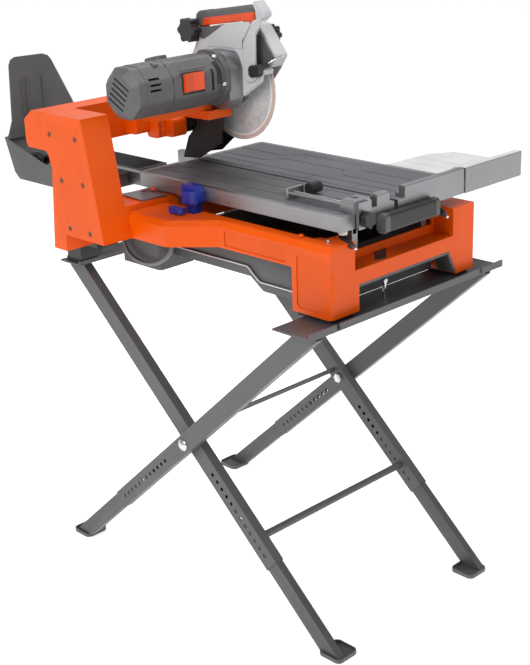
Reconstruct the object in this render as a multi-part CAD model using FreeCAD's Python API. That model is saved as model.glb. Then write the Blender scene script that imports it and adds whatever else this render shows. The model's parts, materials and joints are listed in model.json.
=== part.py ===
import FreeCAD, Part
import math
import os

# Tile cutter: a bridge-type wet saw with a sliding table on a folding X stand.
# All lengths are millimetres. The parts are drawn from the blade's centre:
# +X towards the operator, +Y away from the motor, +Z up. They are exported
# with the origin on the floor, in the middle of the whole object.

V = FreeCAD.Vector

# ---- driving dimensions -------------------------------------------------
BLADE_RADIUS = 125.0
BLADE_THICKNESS = 2.6
TABLE_TOP = -198.0
FLOOR = -1223.0
RUNNING = 0.05            # radial clearance of a shaft in its hole
GAP = 0.3                 # clearance between neighbouring moving pieces

# outer limits of the object
REAR_END = -676.0
FRONT_END = 560.7
NEAR_END = -391.0
FAR_END = 470.0

# stand
PIVOT_X = 80.0
PIVOT_Z = -810.0
LEG_ANGLE = 42.25
LEG_DEPTH = 45.0
LEG_WIDTH = 25.0
LEG_WALL = 2.0
LEG_LOWER_END = 360.0
HOLE_FIRST = 97.8
HOLE_PITCH = 21.0
HOLE_COUNT = 12
LOCKED_HOLE = 6
BUTTON_RADIUS = 4.5
BOLT_RADIUS = 8.0
OUTER_LEG_Y = 281.0       # inner face of the outer frame's legs
INNER_LEG_Y = 254.5       # inner face of the inner frame's legs
PAD_HALF = 34.0
PAD_THICK = 5.0
PAD_HOLE_RADIUS = 3.5
PAD_HOLE_SIDE = 23.0     # hole's distance from the pad's middle
CHANNEL_TOP = -425.0
CHANNEL_THICK = 4.0
LEFT_CHANNEL = (-352.0, -276.0, -309.0, 345.0)
RIGHT_CHANNEL = (414.0, 527.0, -319.0, 354.0)

# base
BASE_FRONT = 502.0
BASE_NEAR = -228.0
BASE_FAR = 268.0
BASE_BOTTOM = -415.0
RAIL_LOW = -315.0
RAIL_TOP = -255.0
RECESS_LOW = -320.0
ARCH_TOP = -354.0
SHOULDER_TOP = -241.0
SKIN = 4.5

LOCK_X = (8.0, 66.0)

# column and arm
COLUMN_BACK = -312.0
COVER_THICK = 8.0
ARM_TOP = -28.0
ARM_RIGHT = -237.0
ARM_FAR = -57.0
ARM_LOW = -118.0

# table
TABLE_X = (-180.0, 490.0)
TABLE_Y = (-180.0, 245.0)
TABLE_LOW = -232.0
DECK = (-208.0, -203.0)
SLOT_HALF = 6.0
SLOT_LOW = -226.0
WHEEL_RADIUS = 11.0
WHEEL_X = (40.0, 300.0)
WHEEL_Z = -224.0
TRACK_Y = (-81.0, 159.0)
ROD_X = (345.0, 450.0)
CLAMP_Z = -213.0
TRACK_WIDTH = 18.0
TRACK_REAR = (-616.0, -412.0)
TRACK = (-268.0, -235.2)

# rear tray
TRAY_FRONT = -330.0
TRAY_FAR = 40.0
TRAY_LOW_RIM = -238.0

# head
HUB_X = -150.0
HUB_Z = -100.0
HUB_RADIUS = 17.0
SHAFT_RADIUS = 8.0
TILT_Y = -110.0
TILT_Z = -65.0
MOTOR_Z = 36.0
MOTOR_RADIUS = 60.0
MOTOR_BORE = 52.0
GEAR_MODULE = 1.0
GEAR_TEETH = 60
PINION_TEETH = 12
SPINDLE_RADIUS = 10.0
ARMATURE_SHAFT = 5.0
GUARD_NEAR = -38.0
GUARD_FAR = 38.0

SHIFT = V(-(REAR_END + FRONT_END) / 2, -(NEAR_END + FAR_END) / 2, -FLOOR)


# ---- helpers --------------------------------------------------------------
def box(x, y, z):
    return Part.makeBox(x[1] - x[0], y[1] - y[0], z[1] - z[0], V(x[0], y[0], z[0]))


def rod(start, end, radius):
    start, end = V(*start), V(*end)
    return Part.makeCylinder(radius, (end - start).Length, start, end - start)


def ring(start, end, outer, inner):
    return rod(start, end, outer).cut(rod(start, end, inner))


def point_on(axis, a, b, along):
    if axis == "x":
        return V(along, a, b)
    if axis == "y":
        return V(a, along, b)
    return V(a, b, along)


def prism(axis, outline, low, high):
    """Extrudes an outline, given in the plane across axis, from low to high."""
    points = [point_on(axis, a, b, low) for a, b in outline]
    face = Part.Face(Part.makePolygon(points + [points[0]]))
    return face.extrude(point_on(axis, 0, 0, high - low))


def fuse(*shapes):
    return shapes[0].multiFuse(list(shapes[1:])).removeSplitter()


def cut(shape, *tools):
    return shape.cut(Part.makeCompound(list(tools)))


def round_edges(shape, direction, radius, keep=None):
    """Rounds the straight edges that run along direction."""
    way = V(*direction)
    chosen = []
    for edge in shape.Edges:
        if not isinstance(edge.Curve, Part.Line):
            continue
        if edge.tangentAt(edge.FirstParameter).cross(way).Length > 1e-6:
            continue
        if keep is None or keep(edge.CenterOfMass):
            chosen.append(edge)
    return shape.makeFillet(radius, chosen)


def regular(sides, radius, centre=(0, 0), turn=0.0):
    """Corners of a regular polygon measured to its corners."""
    step = 2 * math.pi / sides
    start = math.radians(turn)
    return [(centre[0] + radius * math.cos(start + i * step),
             centre[1] + radius * math.sin(start + i * step)) for i in range(sides)]


def star_knob(lobes, radius, thickness, stem, stem_length):
    """A lobed clamping knob, its stem along +Z from the origin."""
    body = Part.makeCylinder(radius * 0.8, thickness, V(0, 0, stem_length))
    for i in range(lobes):
        angle = 2 * math.pi * i / lobes
        centre = V(math.cos(angle), math.sin(angle), 0) * radius * 0.74
        body = body.fuse(Part.makeCylinder(radius * 0.26, thickness, centre + V(0, 0, stem_length)))
    return fuse(body, Part.makeCylinder(stem, stem_length + thickness / 2))


def placed(shape, origin, direction):
    """Turns a shape's +Z to a direction and moves its origin."""
    copy = shape.copy()
    copy.Placement = FreeCAD.Placement(V(*origin), FreeCAD.Rotation(V(0, 0, 1), V(*direction)))
    return copy


def mirrored(shape):
    return shape.mirror(V(0, 0, 0), V(0, 1, 0))


parts = {}


def add(name, *shapes):
    parts[name] = shapes[0] if len(shapes) == 1 else Part.makeCompound(list(shapes))


# ---- stand ----------------------------------------------------------------
def lean(shape, right):
    """Leans a leg drawn along X from the pivot; right says which way its top goes."""
    copy = shape.copy()
    copy.rotate(V(0, 0, 0), V(0, 1, 0), -LEG_ANGLE if right else LEG_ANGLE - 180)
    copy.translate(V(PIVOT_X, 0, PIVOT_Z))
    return copy


def leg_tube(y_low):
    half = LEG_DEPTH / 2
    length = (-LEG_LOWER_END, 640.0)
    outer = box(length, (y_low, y_low + LEG_WIDTH), (-half, half))
    hollow = box((length[0] - 1, length[1] + 1),
                 (y_low + LEG_WALL, y_low + LEG_WIDTH - LEG_WALL),
                 (-half + LEG_WALL, half - LEG_WALL))
    holes = [rod((-HOLE_FIRST - HOLE_PITCH * i, y_low - 1, 0),
                 (-HOLE_FIRST - HOLE_PITCH * i, y_low + LEG_WIDTH + 1, 0), BUTTON_RADIUS + 0.5)
             for i in range(HOLE_COUNT)]
    pivot = rod((0, y_low - 1, 0), (0, y_low + LEG_WIDTH + 1, 0), BOLT_RADIUS + RUNNING)
    return cut(outer, hollow, pivot, *holes)


def leg(y_low, right, x_limits):
    room = box(x_limits, (y_low - 5, y_low + LEG_WIDTH + 5),
               (FLOOR, CHANNEL_TOP - CHANNEL_THICK))
    return lean(leg_tube(y_low), right).common(room)


def extension(y_low, right, button_side):
    """A telescopic lower leg with its foot pad; button_side is -1 or 1 along Y."""
    slack = LEG_WALL + GAP
    half = LEG_DEPTH / 2 - slack
    y = (y_low + slack, y_low + LEG_WIDTH - slack)
    button = -HOLE_FIRST - HOLE_PITCH * LOCKED_HOLE
    outer = box((-680, button + 40), y, (-half, half))
    hollow = box((-681, button + 41), (y[0] + 2, y[1] - 2), (-half + 2, half - 2))
    face = y[0] if button_side < 0 else y[1]
    hole = rod((button, face - 3, 0), (button, face + 3, 0), BUTTON_RADIUS + 0.2)
    tube = lean(cut(outer, hollow, hole), right)
    tube = tube.common(box((-600, 700), (-400, 400), (FLOOR + PAD_THICK - 1, 0)))
    reach = (PIVOT_Z - FLOOR) / math.tan(math.radians(LEG_ANGLE))
    centre = PIVOT_X - reach if right else PIVOT_X + reach - 8
    inward = 1 if y_low < 0 else -1
    middle = y_low + LEG_WIDTH / 2 + inward * 18
    x = (centre - PAD_HALF, centre + PAD_HALF)
    pad_y = (middle - PAD_HALF, middle + PAD_HALF)
    pad = round_edges(box(x, pad_y, (FLOOR, FLOOR + PAD_THICK)), (0, 0, 1), 14)
    kerb = round_edges(box(x, pad_y, (FLOOR + PAD_THICK, FLOOR + PAD_THICK + 5)), (0, 0, 1), 14)
    well = round_edges(box((x[0] + 4, x[1] - 4), (pad_y[0] + 4, pad_y[1] - 4),
                           (FLOOR + PAD_THICK - 1, FLOOR + PAD_THICK + 6)), (0, 0, 1), 10)
    hole_y = middle + inward * PAD_HOLE_SIDE
    hole = rod((centre, hole_y, FLOOR - 1), (centre, hole_y, FLOOR + 20), PAD_HOLE_RADIUS)
    core = lean(box((-680, button + 41), (y[0] + 2, y[1] - 2), (-half + 2, half - 2)), right)
    kerb = kerb.cut(well).cut(core)
    return cut(fuse(tube, pad, kerb), hole)


def button(y_low, right, side):
    slack = LEG_WALL + GAP
    face = y_low + slack if side < 0 else y_low + LEG_WIDTH - slack
    place = -HOLE_FIRST - HOLE_PITCH * LOCKED_HOLE
    body = rod((place, face - side * 8, 0), (place, face + side * 0.15, 0), BUTTON_RADIUS)
    flange = rod((place, face - side * 8, 0), (place, face - side * 6, 0), BUTTON_RADIUS + 2)
    return lean(fuse(body, flange), right)


def pivot_bolt():
    """Near-side bolt: domed head outside, nut inside."""
    face = -OUTER_LEG_Y - LEG_WIDTH - GAP
    inner = -INNER_LEG_Y
    shank = rod((PIVOT_X, face, PIVOT_Z), (PIVOT_X, inner + 10, PIVOT_Z), BOLT_RADIUS)
    dome = Part.makeSphere(20, V(PIVOT_X, face + 12, PIVOT_Z))
    head = dome.common(rod((PIVOT_X, face - 9, PIVOT_Z), (PIVOT_X, face, PIVOT_Z), 15))
    nut = prism("y", regular(6, 13, (PIVOT_X, PIVOT_Z)), inner, inner + 8)
    return fuse(shank, head, nut)


def leg_point(up, right):
    angle = math.radians(LEG_ANGLE)
    side = 1 if right else -1
    return (PIVOT_X + side * up * math.cos(angle), PIVOT_Z + up * math.sin(angle))


def channel(limits, lip_x, lip_height, notches):
    x0, x1, y0, y1 = limits
    plate = box((x0, x1), (y0, y1), (CHANNEL_TOP - CHANNEL_THICK, CHANNEL_TOP))
    lip = box(lip_x, (y0, y1), (CHANNEL_TOP - CHANNEL_THICK, CHANNEL_TOP + lip_height))
    gaps = [box((lip_x[0] - 1, lip_x[1] + 1), (y - 5, y + 5), (CHANNEL_TOP, CHANNEL_TOP + 30))
            for y in notches]
    return cut(fuse(plate, lip), *gaps)


def make_stand():
    inner_near = leg(-INNER_LEG_Y - LEG_WIDTH, False, (LEFT_CHANNEL[0], 600))
    add("inner_legs", inner_near, mirrored(inner_near))
    outer_near = leg(-OUTER_LEG_Y - LEG_WIDTH, True, (-600, RIGHT_CHANNEL[1]))
    add("outer_legs", outer_near, mirrored(outer_near))

    brace_x, brace_z = leg_point(27, False)
    brace = box((brace_x - 3, brace_x + 3), (-INNER_LEG_Y, INNER_LEG_Y), (brace_z - 6, brace_z + 6))
    cross_x, cross_z = leg_point(-285, False)
    add("leg_braces", round_edges(brace, (0, 1, 0), 2),
        rod((cross_x, -INNER_LEG_Y, cross_z), (cross_x, INNER_LEG_Y, cross_z), 9))
    add("pivot_bolts", pivot_bolt(), mirrored(pivot_bolt()))

    add("left_channel", channel(LEFT_CHANNEL, (LEFT_CHANNEL[1] - 4, LEFT_CHANNEL[1]), 7, ()))
    right = channel(RIGHT_CHANNEL, (RIGHT_CHANNEL[1] - 4, RIGHT_CHANNEL[1]), 12, (-232, 267))
    peg = fuse(rod((474, -20, CHANNEL_TOP - 1), (474, -20, -378), 4),
               rod((474, -20, -384), (474, -20, -376), 6))
    add("right_channel", fuse(right, peg))

    feet = (("near_left", -OUTER_LEG_Y - LEG_WIDTH, True, -1),
            ("near_right", -INNER_LEG_Y - LEG_WIDTH, False, -1),
            ("far_left", OUTER_LEG_Y, True, 1),
            ("far_right", INNER_LEG_Y, False, 1))
    for name, y_low, right_leaning, side in feet:
        add("foot_" + name, extension(y_low, right_leaning, side))
        add("snap_button_" + name, button(y_low, right_leaning, side))


# ---- base -----------------------------------------------------------------
def bulge(inset, low, high):
    """The near rail's plan, with the bulge that carries the column."""
    start = -78 + inset * 3
    outline = [(start, -307 + inset), (62 - inset * 0.5, -307 + inset),
               (157 - inset * 0.5, BASE_NEAR + inset), (BASE_FRONT - inset, BASE_NEAR + inset),
               (BASE_FRONT - inset, -188 - inset), (start, -188 - inset)]
    return prism("z", outline, low, high)


def make_chassis():
    near = bulge(0, RAIL_LOW, RAIL_TOP)
    top_edges = [e for e in near.Edges
                 if abs(e.CenterOfMass.z - RAIL_TOP) < 0.1 and e.CenterOfMass.y < -189
                 and -50 < e.CenterOfMass.x < BASE_FRONT - 1]
    near = near.makeChamfer(12, top_edges)
    far = box((-254, BASE_FRONT), (228, BASE_FAR), (RAIL_LOW, RAIL_TOP))
    near_leg = box((388, BASE_FRONT), (BASE_NEAR, -137), (BASE_BOTTOM, RAIL_TOP - 14))
    far_leg = box((384, BASE_FRONT), (BASE_FAR - 65, BASE_FAR), (BASE_BOTTOM, RAIL_TOP - 2))
    near_leg = round_edges(near_leg, (0, 0, 1), 14, lambda c: c.x > 490 and c.y < -200)
    front = box((440, BASE_FRONT), (-188, 228), (ARCH_TOP, RAIL_TOP))
    shoulder = prism("y", [(-170, SHOULDER_TOP), (-71, SHOULDER_TOP), (-57, RAIL_LOW),
                           (-254, RAIL_LOW), (-254, -270), (-170, -270)], COLUMN_BACK, -150)
    rear = box((-254, -57), (-188, BASE_FAR), (RAIL_LOW, -272))
    posts = [box((-120, -60), (y - 9, y + 9), (-275, TRACK[0])) for y in TRACK_Y]
    sills = [box((420, 448), (y - 13, y + 13), (-330, -322)) for y in TRACK_Y]
    lock_seat = box((LOCK_X[0] - 6, LOCK_X[1] + 6), (BASE_NEAR + 2, -175), (-285, -268))
    body = fuse(near, far, near_leg, far_leg, front, shoulder, rear)

    recess = box((446, 520), (-150, 190), (RECESS_LOW, RAIL_TOP + 1))
    recess_back = box((430, 447), (-140, 180), (-300, RAIL_TOP + 1))
    inner_front, inner_far = BASE_FRONT - SKIN, BASE_FAR - SKIN
    hollows = [bulge(SKIN, RAIL_LOW - 1, RAIL_TOP - 14),
               box((-248, inner_front), (228 + SKIN, inner_far), (RAIL_LOW - 1, RAIL_TOP - SKIN)),
               box((390, inner_front), (BASE_NEAR + SKIN, -143), (BASE_BOTTOM - 1, RAIL_TOP - 22)),
               box((390, inner_front), (BASE_FAR - 59, inner_far), (BASE_BOTTOM - 1, RAIL_TOP - 8)),
               box((446, inner_front), (-131, 197), (ARCH_TOP - 1, RECESS_LOW - SKIN)),
               prism("y", [(-164, SHOULDER_TOP - SKIN), (-77, SHOULDER_TOP - SKIN), (-64, RAIL_LOW - 1),
                           (-248, RAIL_LOW - 1), (-248, -276), (-164, -276)], COLUMN_BACK + SKIN, -156),
               box((-248, -63), (-182, 224), (RAIL_LOW - 1, -278))]
    panel = prism("y", [(176, -309), (372, -309), (372, -290), (360, -274), (176, -274)],
                  BASE_NEAR - 1, BASE_NEAR + 2)
    leg_panel = round_edges(box((402, 482), (BASE_NEAR - 1, BASE_NEAR + 2), (-404, -284)), (0, 1, 0), 12)
    body = cut(body, recess, recess_back, round_edges(panel, (0, 1, 0), 5), leg_panel, *hollows)
    nipples = [box((x - 9, x + 9), (-255, -237), (-318, top)) for x, top in ((-172, -246), (14, -262))]
    body = fuse(body, lock_seat, *(posts + sills + nipples))
    lock_slot = box((LOCK_X[0] - 1, LOCK_X[1] + 1), (-220, -174), (-270, RAIL_TOP + 1))
    add("chassis", body.cut(lock_slot))


def column_outline(low):
    """Outline of the column seen from the near side, down to the given foot level."""
    return [(-301, ARM_TOP), (-111, ARM_TOP), (-57, RAIL_LOW), (-204, RAIL_LOW), (-204, low),
            (-254, low), (-236, -160), (-246, -126), (-256, ARM_LOW), (-325, ARM_LOW),
            (-332, -104), (-332, -52)]


COVER_OUTLINE = [(-262, ARM_TOP - 2), (-118, ARM_TOP - 2), (-66, -310), (-204, -310),
                 (-232, -160), (-242, -126), (-262, -116)]
COVER_SCREWS = [(-235, -77), (-137, -77), (-201, -182), (-120, -182), (-184, -296), (-107, -296)]


def make_column():
    trunk = prism("y", column_outline(-356), NEAR_END, COLUMN_BACK)
    beam = prism("y", [(-301, ARM_TOP), (ARM_RIGHT, ARM_TOP), (ARM_RIGHT, ARM_LOW), (-325, ARM_LOW),
                       (-332, -104), (-332, -52)], NEAR_END, ARM_FAR)
    body = fuse(trunk, beam)
    seat = prism("y", COVER_OUTLINE, NEAR_END - 1, NEAR_END + COVER_THICK)
    inner = [(x * 0.93 - 12, z * 0.95 - 8) for x, z in COVER_OUTLINE]
    cavity = prism("y", inner, NEAR_END + COVER_THICK - 1, COLUMN_BACK - SKIN)
    beam_core = box((-324, ARM_RIGHT - SKIN), (-372, ARM_FAR - 12), (ARM_LOW + SKIN, ARM_TOP - 14))
    tilt_hole = rod((-340, TILT_Y, TILT_Z), (-230, TILT_Y, TILT_Z), 9 + RUNNING)
    add("column", cut(body, seat, cavity, beam_core, tilt_hole))

    cover = prism("y", COVER_OUTLINE, NEAR_END, NEAR_END + COVER_THICK)
    wells = [rod((x, NEAR_END - 1, z), (x, NEAR_END + 5, z), 6.5) for x, z in COVER_SCREWS]
    bores = [rod((x, NEAR_END, z), (x, NEAR_END + 9, z), 3.2) for x, z in COVER_SCREWS]
    add("column_cover", cut(cover, *(wells + bores)))
    add("cover_screws", *[cover_screw(x, z) for x, z in COVER_SCREWS])


def cover_screw(x, z):
    head = rod((x, NEAR_END + 1.5, z), (x, NEAR_END + 5, z), 5.5)
    socket = prism("y", regular(6, 2.6, (x, z)), NEAR_END + 1, NEAR_END + 3.5)
    shank = rod((x, NEAR_END + 4, z), (x, NEAR_END + COVER_THICK, z), 3.0)
    return fuse(head, shank).cut(socket)


def make_base_fittings():
    plate = prism("z", [(-165, -250), (-74, -257), (-70, -184), (-150, -184)],
                  SHOULDER_TOP, SHOULDER_TOP + 4)
    add("ledge_plate", plate.cut(rod((-138, -196, -250), (-138, -196, -230), 7)))

    tracks = []
    for y, rear_end in zip(TRACK_Y, TRACK_REAR):
        half = TRACK_WIDTH / 2
        bar = box((rear_end, 440), (y - half, y + half), TRACK)
        core = box((rear_end - 1, 441), (y - half + 3, y + half - 3), (TRACK[0] + 3, TRACK[1] - 3))
        stand = box((424, 440), (y - half, y + half), (-322, TRACK[0]))
        tracks.append(fuse(bar.cut(core), stand))
    add("table_tracks", *tracks)

    feet = [box((392, 494), (-220, -145), (CHANNEL_TOP, BASE_BOTTOM)),
            box((392, 494), (211, 260), (CHANNEL_TOP, BASE_BOTTOM)),
            box((-340, -282), (-300, -242), (CHANNEL_TOP, BASE_BOTTOM)),
            box((-340, -282), (242, 300), (CHANNEL_TOP, BASE_BOTTOM))]
    add("rubber_feet", *[round_edges(f, (0, 0, 1), 6) for f in feet])

    blocks = []
    for side in (-1, 1):
        y = sorted((side * 236, side * 300))
        block = fuse(box((-332, -276), y, (BASE_BOTTOM, -356)), box((-332, -206), y, (-372, -356)))
        core = box((-327, -281), (y[0] + 5, y[1] - 5), (BASE_BOTTOM - 1, -361))
        neck_y = sorted((side * 236, side * 262))
        blocks.append(fuse(block.cut(core), box((-254, -206), neck_y, (-357, RAIL_LOW))))
    add("rear_foot_blocks", *blocks)


def make_water_parts():
    wall = 3
    profile = [(-52, -318), (-52, -384), (212, -384), (252, -412), (378, -412), (378, -318)]
    core = [(-52 + wall, -317), (-52 + wall, -384 + wall), (212, -384 + wall),
            (252, -412 + wall), (378 - wall, -412 + wall), (378 - wall, -317)]
    pan = prism("y", profile, -184, 222).cut(prism("y", core, -184 + wall, 222 - wall))
    lip_line = prism("y", [(-56, -362), (206, -362), (246, -392), (378, -392), (378, -388),
                           (248, -388), (208, -358), (-56, -358)], -188, -184)
    front = box((378, 438), (-128, 190), (-412, -358))
    front = front.cut(box((377, 435), (-125, 187), (-409, -357)))
    doorway = box((374, 381), (-125, 187), (-409, -357))
    sump = round_edges(box((-196, -52), (-232, -120), (-414, -318)), (0, 0, 1), 10)
    sump = sump.cut(box((-193, -55), (-229, -123), (-411, -317)))
    add("water_tub", fuse(pan, lip_line, front).cut(doorway), sump)

    walls = [(REAR_END, -168), (-642, -258), (-622, -274), (TRAY_FRONT, -274),
             (TRAY_FRONT, TRAY_LOW_RIM), (-440, TRAY_LOW_RIM)]
    cavity = [(REAR_END + 4, -165), (-638, -256), (-620, -270), (TRAY_FRONT - 4, -270),
              (TRAY_FRONT - 4, -165)]
    outer = prism("y", walls, BASE_NEAR, TRAY_FAR)
    tray = outer.cut(prism("y", cavity, BASE_NEAR + 4, TRAY_FAR - 4))
    far_lowering = box((-640, TRAY_FRONT + 1), (TRAY_FAR - 10, TRAY_FAR + 1), (TRAY_LOW_RIM, 0))
    back_rim = box((REAR_END, -656), (BASE_NEAR + 4, TRAY_FAR - 4), (-172, -168))
    near_track = TRACK_Y[0]
    track_y = (near_track - TRACK_WIDTH / 2 - 0.2, near_track + TRACK_WIDTH / 2 + 0.2)
    gate = box((TRAY_FRONT - 10, TRAY_FRONT + 10), track_y, (TRACK[0] - 0.2, -230))
    seat = box((-610, -600), (near_track - 9, near_track + 9), (-271, TRACK[0]))
    add("rear_tray", fuse(tray, back_rim, seat).cut(Part.makeCompound([gate, far_lowering])))

    outline = [(-222, -168), (-206, -127), (-199, 18), (-192, 32), (-178, 38), (-90, 36),
               (-74, 30), (-64, 18), (-6, -98), (24, -168)]
    panel = prism("x", outline, -668, -664)
    foot = box((-668, -657), (-222, 24), (-168, -164))
    ribs = [prism("x", [(y - 1.5, -164), (y + 1.5, -164), (y + 1.5, -20), (y - 1.5, -20)], -664, -661)
            for y in (-165, -150, -100)]
    add("splash_shield", fuse(panel, foot, *ribs))

    pump = prism("z", regular(6, 19, (-575, -204), 0), -270, -204)
    inlet = rod((-575, -204, -235), (-535, -204, -235), 7)
    collar = rod((-553, -204, -214), (-527, -204, -214), 12)
    bore = rod((-553.5, -204, -214), (-526, -204, -214), 7.5)
    outlet = rod((-575, -204, -214), (-552, -204, -214), 8)
    add("water_pump", fuse(pump, inlet, collar, outlet).cut(bore))


def hose(points, radius):
    """A hose along straight runs joined by tangent arcs."""
    pts = [V(*p) for p in points]
    edges = []
    last = pts[0]
    for before, corner, after in zip(pts, pts[1:], pts[2:]):
        a = (before - corner).normalize()
        b = (after - corner).normalize()
        run = min((before - corner).Length, (after - corner).Length) * 0.45
        turn = math.pi - a.getAngle(b)
        bend = run / math.tan(turn / 2)
        start, end = corner + a * run, corner + b * run
        inward = (a + b).normalize()
        middle = corner + inward * (math.hypot(run, bend) - bend)
        if (start - last).Length > 1e-6:
            edges.append(Part.LineSegment(last, start).toShape())
        edges.append(Part.Arc(start, middle, end).toShape())
        last = end
    edges.append(Part.LineSegment(last, pts[-1]).toShape())
    path = Part.Wire(edges)
    section = Part.Wire(Part.makeCircle(radius, pts[0], pts[1] - pts[0]))
    return path.makePipeShell([section], True, False)


HOSE_ROUTE = [(-172, -246, -318), (-172, -246, -345), (-165, -246, -370), (-147, -246, -388),
              (-118, -246, -398), (-82, -246, -399), (-46, -246, -391), (-14, -246, -373),
              (14, -246, -345), (14, -246, -318)]


def make_small_base_parts():
    add("drain_hose", hose(HOSE_ROUTE, 5))
    foot = box((LOCK_X[0] + 12, LOCK_X[1] - 12), (-200, -184), (-269.7, -242))
    head = prism("y", [(LOCK_X[0], -198), (LOCK_X[0], -232), (LOCK_X[0] + 12, -244),
                       (LOCK_X[1] - 12, -244), (LOCK_X[1], -232), (LOCK_X[1], -208),
                       (LOCK_X[1] - 12, -194), (LOCK_X[0] + 6, -194)], -204, -181)
    head = round_edges(head, (0, 1, 0), 4)
    grip = prism("z", [(LOCK_X[0] + 8, -204), (LOCK_X[0] + 14, -215), (LOCK_X[1] - 16, -215),
                       (LOCK_X[1] - 10, -204)], -236, -206)
    lock = fuse(foot, head, grip)
    add("table_lock", lock)
    stem = rod((22, -244, RAIL_TOP + GAP), (22, -244, RAIL_TOP + 8), 8)
    lever = round_edges(box((12, 58), (-253, -235), (RAIL_TOP + 4, RAIL_TOP + 16)), (0, 0, 1), 7)
    add("water_valve", fuse(stem, lever))


# ---- table ----------------------------------------------------------------
def make_table():
    x, y = TABLE_X, TABLE_Y
    rim = box(x, y, (TABLE_LOW, TABLE_TOP))
    rim = round_edges(rim, (0, 0, 1), 12, lambda c: c.x < 0)
    inside = box((x[0] + 12, x[1] - 12), (y[0] + 12, y[1] - 12), (TABLE_LOW - 1, TABLE_TOP + 1))
    deck = box((x[0] + 6, x[1] - 6), (y[0] + 6, y[1] - 6), DECK)
    ribs = [box((rx - 6, rx + 6), (y[0] + 6, y[1] - 6), (TABLE_LOW, DECK[0]))
            for rx in (-60, 110, 250, 390)]
    wheel_spots = [(wx, ty) for wx in WHEEL_X for ty in TRACK_Y]
    axle_blocks = [box((wx - 8, wx + 8), (ty + offset - 5, ty + offset + 5), (TABLE_LOW, DECK[0]))
                   for wx, ty in wheel_spots for offset in (-16, 16)]
    frame = fuse(rim.cut(inside), deck, *(ribs + axle_blocks))
    slot = box((x[0] - 1, x[1] + 1), (-SLOT_HALF, SLOT_HALF), (SLOT_LOW, TABLE_TOP + 1))
    wells = [box((wx - 13, wx + 13), (ty - 10, ty + 10), (TABLE_LOW - 1, -210)) for wx, ty in wheel_spots]
    axles = [rod((wx, ty - 30, WHEEL_Z), (wx, ty + 30, WHEEL_Z), 4 + RUNNING) for wx, ty in wheel_spots]
    sockets = [rod((sx, y[1] - 160, -217), (sx, y[1] + 1, -217), 6 + RUNNING) for sx in ROD_X]
    bosses = [rod((sx, y[1] - 160, -217), (sx, y[1] - 6, -217), 9) for sx in ROD_X]
    frame = cut(fuse(frame, *bosses), slot, *(wells + axles + sockets))
    add("table_frame", frame)

    mat = box((x[0] + 12, x[1] - 12), (y[0] + 12, y[1] - 12), (DECK[1], TABLE_TOP))
    grooves = [box((x[0] + 11, x[1] - 11), (gy - 1.5, gy + 1.5), (TABLE_TOP - 1.5, TABLE_TOP + 1))
               for gy in (-120, -70, -22, 22, 60)]
    grooves += [box((gx - 1, gx + 1), ys, (TABLE_TOP - 1.2, TABLE_TOP + 1))
                for gx, ys in ((-40, (-170, -120)), (150, (-170, -120)), (60, (-120, -70)),
                               (250, (-120, -70)), (0, (22, 60)), (190, (22, 60)), (340, (22, 60)))]
    step = [(x[0] + 10, 100), (-20, 100), (14, 140), (210, 140), (244, 100), (x[1] - 10, 100)]
    for shift in (0, 62):
        band = [(px, py + shift - 1.5) for px, py in step]
        band += [(px, py + shift + 1.5) for px, py in reversed(step)]
        grooves.append(prism("z", band, TABLE_TOP - 1.5, TABLE_TOP + 1))
    add("table_mat", cut(mat, slot, *grooves))

    fence = box((472, 490), (30, 243), (TABLE_TOP, -172))
    ledge = box((462, 472), (30, 243), (TABLE_TOP, -190))
    fence = round_edges(fuse(fence, ledge), (0, 1, 0), 2, lambda c: c.z > -180)
    near_stop = box((470, 490), (-64, -22), (TABLE_TOP, -176))
    lobes = [rod((480, ly, TABLE_TOP), (480, ly, -172), 9) for ly in (-54, -43, -32)]
    add("fence", fence, fuse(near_stop, *lobes))
    grip = box((490, 516), (-64, 121), (-256, -214))
    grip = round_edges(grip, (0, 1, 0), 8)
    add("push_handle", grip)

    for name, wx in (("rear_rollers", WHEEL_X[0]), ("front_rollers", WHEEL_X[1])):
        wheels = []
        for ty in TRACK_Y:
            tyre = rod((wx, ty - 7, WHEEL_Z), (wx, ty + 7, WHEEL_Z), WHEEL_RADIUS)
            wheels.append(fuse(tyre, rod((wx, ty - 20, WHEEL_Z), (wx, ty + 20, WHEEL_Z), 4)))
        add(name, *wheels)

    rods = [rod((sx, y[1] - 155, -217), (sx, y[1] + 10, -217), 6) for sx in ROD_X]
    leaf = prism("z", [(253, 247), (490, 247), (490, 462), (300, 452), (262, 400)], TABLE_LOW, TABLE_TOP)
    under = prism("z", [(261, 253), (484, 253), (484, 456), (304, 446), (269, 397)], TABLE_LOW - 1, -206)
    leaf = leaf.cut(under)
    lines = [box((256, 489), (gy - 1, gy + 1), (TABLE_TOP - 1, TABLE_TOP + 1)) for gy in (300, 350, 400)]
    rail = box((472, 490), (247, FAR_END), (TABLE_TOP - 2, -172))
    sleeves = [rod((sx, y[1] + 2, -217), (sx, y[1] + 30, -217), 10).common(
        box((200, 500), (247, 300), (-228, -206))) for sx in ROD_X]
    add("extension_table", fuse(cut(leaf, *lines), rail, *(sleeves + rods)))


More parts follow.
